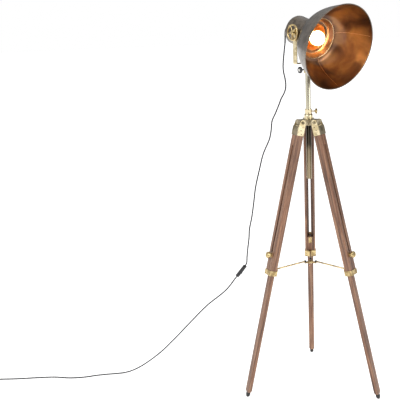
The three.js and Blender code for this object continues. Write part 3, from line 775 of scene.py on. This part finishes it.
def make_rocker():
    pivot = 6
    tilt = shift(z=pivot) @ Matrix.Rotation(math.radians(-7), 4, "Y") @ shift(z=-pivot)
    outline = rounded([(0, 4.4), (8.8, 6), (8.8, 9.8), (0, 8.6), (-8.8, 9.8), (-8.8, 6), (0, 4.4)], 1.2)
    bm = bmesh.new()
    half = 5.6
    add_prism(bm, [(x, -half, z) for x, z in outline[:-1]], [(x, half, z) for x, z in outline[:-1]])
    return solid(bm, "rocker", SWITCH @ tilt, [BLACK], "rocker", ["switch_rocker"])


def make_plug():
    """Flat two-pin mains plug with a ribbed sleeve, lying beside the coil."""
    place = shift(COIL["x"] - COIL["middle"] - 3, COIL["y"] - PLUG["ahead"], PLUG["height"])
    bm = bmesh.new()
    corners = [(-9, -21), (9, -21), (15, -30), (15, -56), (-15, -56), (-15, -30), (-9, -21)]
    outline = rounded(corners, 3, 4)[:-1]
    half = PLUG["height"] - GAP
    sides = [[place @ Vector((x, y, z)) for x, y in outline] for z in (-half, half)]
    add_prism(bm, *sides)
    edges = [edge for edge in bm.edges if abs(edge.verts[0].co.z - edge.verts[1].co.z) < 0.01]
    bmesh.ops.bevel(bm, geom=edges, offset=2.2, segments=3, affect="EDGES", profile=0.5)
    ribs = [(0, 0), (0, 3.8)]
    for i in range(6):
        back, size = -3.4 * i, 3.5 + 0.42 * i
        ribs += [(back - 2.4, size + 0.7), (back - 2.8, size), (back - 3.4, size + 0.1)]
    add_turned(bm, [*ribs, (-24, 6.5), (-24, 0)], "y", 24, 0, place)
    for x in (-9.5, 9.5):
        pin = rounded([(-50, 0), (-50, 2.4), (-75, 2.4), (-75, 0)], 1.5)
        add_turned(bm, pin, "y", 20, 1, place @ shift(x))
    return solid(bm, "mains_plug", LAMP, [BLACK, STEEL], "hub", ["plug"])


def make_tie():
    """Twist tie round the coil's turns."""
    place = LAMP @ shift(COIL["x"] + COIL["middle"], COIL["y"], 6.4)
    bm = bmesh.new()
    angles = [2 * math.pi * i / 28 for i in range(29)]
    loop = [Vector((7.3 * math.cos(a), 0, max(7 * math.sin(a), -6.3))) for a in angles]
    for a, b in zip(loop, loop[1:]):
        mid = (a + b) / 2
        ahead = (b - a).normalized()
        turn = Matrix((ahead, Vector((0, 1, 0)), ahead.cross(Vector((0, 1, 0))))).transposed().to_4x4()
        add_box(bm, ((b - a).length + 0.3, 3.6, 0.5), Matrix.Translation(mid) @ turn, 0)
    return solid(bm, "coil_tie", place, [BLACK], "hub")


def make_flex():
    upper = curve_through(HANGING)

    def nearest(knot):
        return min(range(len(upper)), key=lambda i: (upper[i] - Vector(knot)).length)

    head_end, yoke_end = nearest(HANGING[HEAD_KNOTS]), nearest(HANGING[YOKE_KNOTS])
    switch_pieces = [*make_switch(), make_rocker()]
    flex("flex_at_head", upper[: head_end + 1], "cord_at_head", blend=("head", "yoke"))
    flex("flex_at_yoke", upper[head_end: yoke_end + 1], "cord_at_yoke", blend=("yoke", "post"))
    flex("flex_hanging", upper[yoke_end:], "cord_hanging", blend=("post", "hub"))
    lower = curve_through(RUN) + coil_points()
    ends = [make_plug(), make_tie()]
    flex(
        "flex_to_plug", lower, "cord_on_floor", "hub",
        replaces=["cord_coil"],
    )


make_flex()


# ---------------------------------------------------------------- head
def bowl_line(steps=44):
    """Outside of the bowl, from the neck to the mouth."""
    line = []
    for i in range(steps + 1):
        along = (i / steps) ** 2.2
        line.append((
            NECK["at"] + (MOUTH["at"] - NECK["at"]) * along,
            NECK["radius"] + (MOUTH["radius"] - NECK["radius"]) * along ** BOWL_POWER,
        ))
    return line


def inset(line, thickness):
    """The same line moved towards the axis side by the sheet's thickness."""
    made = []
    for i, (along, radius) in enumerate(line):
        a0, r0 = line[max(i - 1, 0)]
        a1, r1 = line[min(i + 1, len(line) - 1)]
        size = math.hypot(a1 - a0, r1 - r0)
        made.append((along + thickness * (r1 - r0) / size, radius - thickness * (a1 - a0) / size))
    return made


def arc_line(centre, radius, start, end, steps):
    return [
        (
            centre[0] + radius * math.cos(math.radians(start + (end - start) * i / steps)),
            centre[1] + radius * math.sin(math.radians(start + (end - start) * i / steps)),
        )
        for i in range(steps + 1)
    ]


def make_shade():
    """Spun bowl: bronze outside with a rolled rim, copper inside, stepped neck."""
    seat = CAN["front"] + 0.4
    neck = [
        (seat, CAN["radius"] - 4), (seat, 68), (seat + 6, 69.5),
        (NECK["at"] - 3, NECK["radius"] - 4), (NECK["at"], NECK["radius"]),
    ]
    outside = rounded(neck, 2)[:-1] + bowl_line()
    bm = bmesh.new()
    inside = inset(outside, SHEET)
    add_turned(bm, [*outside, *reversed(inside), outside[0]], "x", 160)
    skins = len(outside) - 1
    bm.faces.ensure_lookup_table()
    for i, face in enumerate(bm.faces):
        ring = i // 160
        face.material_index = 1 if ring > skins else 0
    rim = arc_line((MOUTH["at"] - 0.6, MOUTH["radius"] - 0.4), 1.9, 0, 360, 14)
    add_turned(bm, [*rim[:-1], rim[0]], "x", 160, 0)
    shade = solid(bm, "shade_bowl", OPTICS, [BRONZE, COPPER], "head", ["shade"], sharp=50)
    for name, along, radius, size in (("outer", 72.2, 83.6, 1.3), ("inner", 52.3, 66.3, 1.1)):
        bead = arc_line((along, radius), size, 0, 360, 10)
        bm = bmesh.new()
        add_turned(bm, [*bead[:-1], bead[0]], "x", 120)
        solid(bm, f"neck_bead_{name}", OPTICS, [PALE_BRASS], "head")
    return shade


SEAM_ANGLES = (math.radians(168), math.radians(79))


def make_seams():
    """Two thin soldered seams that run from the neck to the rim inside the bowl."""
    line = inset(bowl_line(30), SHEET + 0.15)[1:-1]
    bm = bmesh.new()
    for angle in SEAM_ANGLES:
        for k, (first, second) in enumerate(zip(line, line[1:])):
            a = Vector((first[0], first[1] * math.sin(angle), first[1] * math.cos(angle)))
            b = Vector((second[0], second[1] * math.sin(angle), second[1] * math.cos(angle)))
            ahead = (b - a).normalized()
            side = Vector((0, math.cos(angle), -math.sin(angle)))
            turn = Matrix((ahead, side, ahead.cross(side))).transposed().to_4x4()
            add_box(bm, ((b - a).length + 0.2, 1.1, 0.5), Matrix.Translation((a + b) / 2) @ turn, 0)
    solid(bm, "bowl_seams", OPTICS, [SEAM], "head")


def make_housing():
    """Can with a rolled bead at each end, its inside a warm reflector whose bright orange is partly painted
    light from the bulb, and a domed back cap.
    """
    radius, wall, back, front = CAN["radius"], CAN["wall"], CAN["back"], CAN["front"]
    outside = [(back, radius), (back + 2, radius + 0.8), (back + 5, radius + 0.8), (back + 7, radius)]
    outside += [(front - 8, radius), (front - 6, radius + 0.9), (front - 2, radius + 0.9), (front, radius)]
    inside = [(front, radius - wall), (back, radius - wall), outside[0]]
    bm = bmesh.new()
    outer = rounded(outside, 0.8)
    add_turned(bm, [*outer, *inside], "x", 120)
    bm.faces.ensure_lookup_table()
    for i, face in enumerate(bm.faces):
        face.material_index = 1 if i // 120 == len(outer) else 0
    solid(bm, "housing_can", OPTICS, [BRONZE, BULB_LIT_GOLD_INSIDE], "head", ["housing"])
    roll = 13
    corner = arc_line((CAP_BACK + roll, radius - roll), roll, 180, 90, 12)
    dish = [(CAP_BACK, 7.3), (CAP_BACK, 30), (CAP_BACK + 0.9, 31), (CAP_BACK + 0.9, 40), (CAP_BACK, 41)]
    outer = [*rounded([*dish, corner[0]], 0.6), *corner[1:], (back - GAP, radius)]
    bm = bmesh.new()
    add_turned(bm, [*outer, *reversed(inset(outer, wall)), outer[0]], "x", 120)
    solid(bm, "housing_cap", OPTICS, [BRONZE], "head", ["back_cap"])
    bm = bmesh.new()
    for i in range(6):
        angle = math.radians(30 + 60 * i)
        normal = Vector((0, math.sin(angle), math.cos(angle)))
        turn = Matrix((normal, Vector((1, 0, 0)), normal.cross(Vector((1, 0, 0))))).transposed().to_4x4()
        for along in (front - 12, back + 12):
            place = Matrix.Translation(Vector((along, 0, 0)) + normal * radius) @ turn
            add_screw(bm, place, 2.6, 1.3)
    solid(bm, "housing_screws", OPTICS, [OLIVE_BRASS, BLACK], "head")


def make_lamp_holder():
    inside = CAP_BACK + CAN["wall"] + GAP
    profile = [
        (inside, 0), (inside, 5), (-46, 5), (-46, 16), (-42, 20), (4, 20), (4, 18.4), (8, 18.4),
        (8, 20), (20, 20), (20, 14), (-6, 14), (-6, 0),
    ]
    turned("porcelain_holder", profile, OPTICS, GLAZE, "head", "x", ["lamp_holder"], 64)


def make_bulb():
    """Screw-cap bulb: threaded cap and a frosted envelope."""
    thread = []
    for i in range(7):
        thread += [(2 + 2.7 * i, 12.2), (2 + 2.7 * i + 1.35, 13.0)]
    cap = [(-5, 0), (-5, 4), (-3.5, 4), (-2, 9), (0.5, 12), *thread, (21.5, 13), (21.5, 0)]
    bm = bmesh.new()
    add_turned(bm, cap, "x", 40)
    solid(bm, "bulb_cap", OPTICS, [STEEL], "head")
    neck = [(21.5, 0), (21.5, 12.6), (24, 14.5), (36, 18), (48, 25), (59, 29)]
    envelope = rounded([*neck, *arc_line((70, 0), 30, 90, 0, 20)], 6, 5)
    bm = bmesh.new()
    add_turned(bm, envelope, "x", 64)
    bulb = solid(bm, "bulb_glass", OPTICS, [GLASS], "head", ["bulb"], sharp=80)
    bulb.visible_shadow = False


def make_gland():
    """Tapered, ribbed strain relief with a lock nut against the cap."""
    seat = CAP_BACK - GAP
    profile = [(seat, 0), (seat, 10.5), (seat - 4.4, 10.5), (seat - 5, 7.4)]
    ribs = 6
    pitch = (seat - 6 - GLAND_TIP) / ribs
    for i in range(ribs):
        start = seat - 6 - pitch * i
        size = 7.0 - 2.6 * i / ribs
        profile += [(start, size), (start - 0.62 * pitch, size - 0.2), (start - 0.7 * pitch, size - 1)]
    profile += [(GLAND_TIP, 3.4), (GLAND_TIP, 0)]
    turned("strain_relief", profile, OPTICS, BLACK, "head", "x", ["cord_gland"], 32, 0.25)


def make_handwheel(name, side):
    """Five-spoke brass handwheel with a round rim and a cap nut."""
    rim_radius, plane, spokes, phase = 31, 78, 5, 0.3
    bm = bmesh.new()
    ring = arc_line((plane, rim_radius), 3.8, 0, 360, 16)
    add_turned(bm, [*ring[:-1], ring[0]], "y", 72)
    seat = YOKE_INSIDE + 4.3
    hub_line = [(seat, 4.2), (seat, 8), (73, 9), (82, 9), (84, 7.5), (84, 4.2), (seat, 4.2)]
    add_turned(bm, rounded(hub_line, 0.7), "y", 36)
    for i in range(spokes):
        turn = Matrix.Rotation(i * 2 * math.pi / spokes + phase, 4, "Y")
        spoke = [(8, 0), (8, 3.4), (14, 2.5), (22, 2.3), (27, 2.9), (29, 3.2), (29, 0)]
        add_turned(bm, spoke, "x", 14, 0, shift(y=plane) @ turn)
    for vertex in bm.verts:
        vertex.co.y *= side
    node = f"handwheel_{name}"
    solid(bm, f"{node}_casting", HEAD, [AGED_BRASS], node, [node])


def make_trunnion(name, side):
    flange = CAN["radius"] + GAP
    face = YOKE_INSIDE - GAP
    line = [(flange, 0), (flange, 10), (face, 10), (face, 4), (87, 4), (88, 3), (88, 0)]
    bm = bmesh.new()
    add_turned(bm, rounded(line, 0.5), "y", 36)
    for vertex in bm.verts:
        vertex.co.y *= side
    solid(bm, f"tilt_stud_{name}", HEAD, [PALE_BRASS], "head", [f"trunnion_{name}"])


make_shade()
make_seams()
make_housing()
make_lamp_holder()
make_bulb()
make_gland()
for wheel_name, wheel_side in (("near", -1), ("far", 1)):
    make_handwheel(wheel_name, wheel_side)
    make_trunnion(wheel_name, wheel_side)


# ---------------------------------------------------------------- yoke, post and hub
def clamp_knob(name, node, body, local, axis, start, stem_end, stem, head, material, flip=1, cap=None):
    """Thumb knob: threaded stem, flared neck and a ribbed disc, with an optional centre cap."""
    bm = bmesh.new()
    line = [
        (start, 0), (start, stem), (stem_end, stem), (stem_end, head * 0.4),
        (stem_end + 2.5, head * 0.55), (stem_end + 4.5, head), (stem_end + 9.5, head),
        (stem_end + 12, head * 0.6), (stem_end + 12.5, 0),
    ]
    add_turned(bm, [(a * flip, r) for a, r in rounded(line, 0.9)], axis, 40)
    if cap is not None:
        low, high = stem_end + 12.2, stem_end + 13
        disc = [(low, 0), (low, head * 0.42), (high, head * 0.38), (high, 0)]
        add_turned(bm, [(a * flip, r) for a, r in disc], axis, 32, 1)
    materials = [material] if cap is None else [material, cap]
    return solid(bm, name, local, materials, body, [node])


def make_yoke():
    dress("yoke", PALE_BRASS, 0.7)
    bottom, top, radius = SLEEVE["bottom"], SLEEVE["top"], SLEEVE["radius"]
    bore, seat, roof = POST_RADIUS + GAP, YOKE_BASE - GAP, POST["top"] + GAP
    line = [
        (bottom, bore), (bottom, radius), (bottom + 4, radius + 0.6), (bottom + 6, radius), (top - 4, radius),
        (top, radius - 5), (top + 1, 7), (seat, 7), (seat, 0.01), (roof, 0.01), (roof, bore), (bottom, bore),
    ]
    turned("sleeve_socket", line, YOKE, PALE_BRASS, "yoke", "z", ["yoke_sleeve"], 56)
    knob = YOKE @ shift(z=SLEEVE_KNOB_HEIGHT)
    clamp_knob(
        "sleeve_hand_knob", "sleeve_knob", "sleeve_knob", knob, "y", 11.6, 35, 3, 14, BLACK,
        flip=-1, cap=STEEL,
    )
    start = YOKE_BASE + 4.2
    nut = [(start, 0), (start, 7.5), (start + 3.8, 7.5), (start + 5.3, 5), (start + 5.3, 0)]
    turned("yoke_nut", nut, YOKE, AGED_BRASS, "yoke", "z", (), 6, 0.3)


def make_post():
    bottom, top, inner = POST["bottom"], POST["top"], POST_RADIUS - POST["wall"]
    line = [(bottom, inner), (bottom, POST_RADIUS), (top, POST_RADIUS), (top, inner), (bottom, inner)]
    turned("post_tube", line, LAMP, POST_METAL_WITH_PAINTED_SHADE, "post", "z", ["post"], 56, 0.5)
    dress("hub", OLIVE_BRASS, 0.9)
    bore = POST_RADIUS + GAP
    seat, split, collar_top = HUB["top"], HUB["collar_split"], HUB["collar_top"]
    low, high = split - GAP, split + GAP
    collar = [
        (high, bore), (high, 15.6), (split + 2, 15.6), (split + 3, 14.6), (collar_top - 4, 14.6),
        (collar_top - 3, 15.4), (collar_top, 15), (collar_top, bore), (high, bore),
    ]
    turned("clamp_collar", collar, LAMP, PALE_BRASS, "hub", "z", ["post_collar"], 56, 0.5)
    sleeve = [
        (seat, 17.5), (seat, 19.4), (seat + 2, 19.4), (seat + 3, 18), (split - 4, 18),
        (split - 2, 17.2), (low, 15.5), (low, 14), (seat, 17.5),
    ]
    turned("hub_sleeve", sleeve, LAMP, PALE_BRASS, "hub", "z", (), 56, 0.4)
    screw = LAMP @ shift(z=THUMBSCREW_HEIGHT)
    clamp_knob(
        "thumbscrew", "post_thumbscrew", "thumbscrew", screw, "x", POST_RADIUS + GAP, 26, 2.5, 12,
        AGED_BRASS,
    )


make_yoke()
make_post()


# ---------------------------------------------------------------- legs
def make_bolt(number):
    """Hinge bolt with a domed head and a nut."""
    half = LEG_WIDTH / 2 + 0.6
    end = [(0, 4), (0, 7), (2.6, 6.8), (3.2, 5.2), (2.4, 4.6), (2.4, 3.6), (4.6, 3), (5, 0)]
    line = [(-half - a, radius) for a, radius in reversed(end)] + [(half + a, radius) for a, radius in end]
    bm = bmesh.new()
    add_turned(bm, rounded(line, 0.6), "y", 32)
    turn = shift(*[c / MM for c in (Vector(JOINTS[f"leg_{number}_fold"]["pos_m"]) - LAMP.translation)])
    azimuth = Vector(JOINTS[f"leg_{number}_fold"]["axis"])
    facing = Matrix((azimuth.cross(UP), azimuth, UP)).transposed().to_4x4()
    place = LAMP @ turn @ facing
    node = f"leg_{number}_pivot_bolt"
    solid(bm, f"hinge_bolt_{number}", place, [OLIVE_BRASS], "hub", [node])


def make_fittings(number):
    """Screws in the bracket and the ferrule, and the brass plate on the stile's top."""
    local, body = LEG[number], f"leg_{number}"
    bm = bmesh.new()
    face = LEG_WIDTH / 2 + GAP
    ferrule_rows = (-FERRULE["top"] - 5, -FERRULE["top"] - 17)
    for side in (-1, 1):
        turn = Matrix.Rotation(side * math.pi / 2, 4, "Z")
        for x, down in ((-4, -20), (2, -34), (-2, -49)):
            add_screw(bm, shift(x, side * face, down) @ turn, 2.6, 0.8, 0)
        for down in ferrule_rows:
            for x in (-9, 9):
                add_screw(bm, shift(x, side * (face + 2), down) @ turn, 1.9, 0.8)
    for y in (-17, 17):
        for down in ferrule_rows:
            add_screw(bm, shift(LEG_DEPTH / 2 + 2.3, y, down), 2.1, 0.9)
            add_screw(bm, shift(-LEG_DEPTH / 2 - 2.3, y, down) @ Matrix.Rotation(math.pi, 4, "Z"), 2.1, 0.9)
    solid(bm, f"leg_{number}_screws", local, [OLIVE_BRASS, BLACK], body)
    bm = bmesh.new()
    plate = STILE["outer"] - STILE["depth"] - 0.4
    inward = Matrix.Rotation(math.pi, 4, "Z")
    add_box(bm, (0.8, 13.2, 30), shift(plate, 0, -STILE["top"] - 16), 0.3)
    for down in (6, 26):
        add_screw(bm, shift(plate - 0.4, 0, -STILE["top"] - down) @ inward, 2.0, 0.7)
    solid(bm, f"leg_{number}_stile_plate", local, [AGED_BRASS, BLACK], f"leg_{number}_lower")


def make_lock_knob(number):
    """Ribbed brass screw with a washer and a domed end."""
    start = STILE["outer"] + GAP
    face = LEG_DEPTH / 2 + GAP
    bm = bmesh.new()
    line = [
        (start, 0), (start, 2.6), (face, 2.6), (face, 11), (face + 2.6, 11), (face + 3.2, 6),
        (face + 9, 5.6), (face + 10, 13), (face + 11, 14), (face + 19, 14), (face + 23, 10.5), (face + 24, 0),
    ]
    add_turned(bm, rounded(line, 0.7), "x", 40)
    for i in range(20):
        turn = Matrix.Rotation(2 * math.pi * i / 20, 4, "X")
        add_box(bm, (6.4, 0.9, 0.9), turn @ shift(face + 15, 0, 13.9), 0.3)
    place = LEG[number] @ shift(z=-LOCK_DISTANCE)
    name = f"leg_{number}_lock"
    solid(bm, f"{name}_screw", place, [AGED_BRASS], name, [f"{name}_knob"])


def make_rod(number):
    """Spreader rod: an eye on the clevis pin, a tapered rod with a bead, and a black ball."""
    joint = JOINTS[f"rod_{number}_swing"]
    pin = Vector(joint["pos_m"])
    across = Vector(joint["axis"])
    inward = (LAMP.translation - pin)
    inward.z = 0
    ball = LAMP.translation - inward.normalized() * BALL["from_axis"] * MM
    ball.z = BALL["height"] * MM
    local = axes(pin, ball - pin, -across)
    length = (ball - pin).length / MM
    bm = bmesh.new()
    add_turned(bm, rounded([(-3, 2.3), (-3, 4.4), (3, 4.4), (3, 2.3), (-3, 2.3)], 0.5), "y", 28)
    neck, radius, end = ROD["neck"], ROD["radius"], length - 2
    line = [(3.2, 0), (3.2, neck), (7, neck), (9, radius), (end, radius), (end, 0)]
    add_turned(bm, rounded(line, 0.8), "x", 24)
    add_turned(bm, arc_line((length, 0), BALL["radius"], 180, 0, 14), "x", 28, 1)
    node = f"rod_{number}"
    solid(bm, f"spreader_{node}", local, [AGED_BRASS, BLACK], node, [node])


def make_leg(number):
    name = f"leg_{number}"
    for piece in ("rail_left", "rail_right", "top_block", "stile"):
        dress(f"{name}_{piece}", WOODS[number], 0.9)
    # Painted shade: the bracket's outer plate gets the darker dull brass and its cheeks the pale polished
    # brass, two copies of the same part's brass split by which way each face looks.
    dress(
        f"{name}_bracket", PALE_BRASS, 0.5, other=OLIVE_BRASS, local=LEG[number],
        where=lambda centre, normal: centre.x > LEG_DEPTH / 2 + 0.1,
    )
    dress(
        f"{name}_ferrule", AGED_BRASS, 0.5, other=WOODS[number], local=LEG[number],
        where=lambda centre, normal: centre.x > 0 and centre.z > -FERRULE["top"] + 0.1,
    )
    dress(f"{name}_foot", RUBBER, 1.2)
    make_bolt(number)
    make_fittings(number)
    make_lock_knob(number)
    make_rod(number)


for leg_number in LEGS:
    make_leg(leg_number)
dress("spider", AGED_BRASS, 0.5)
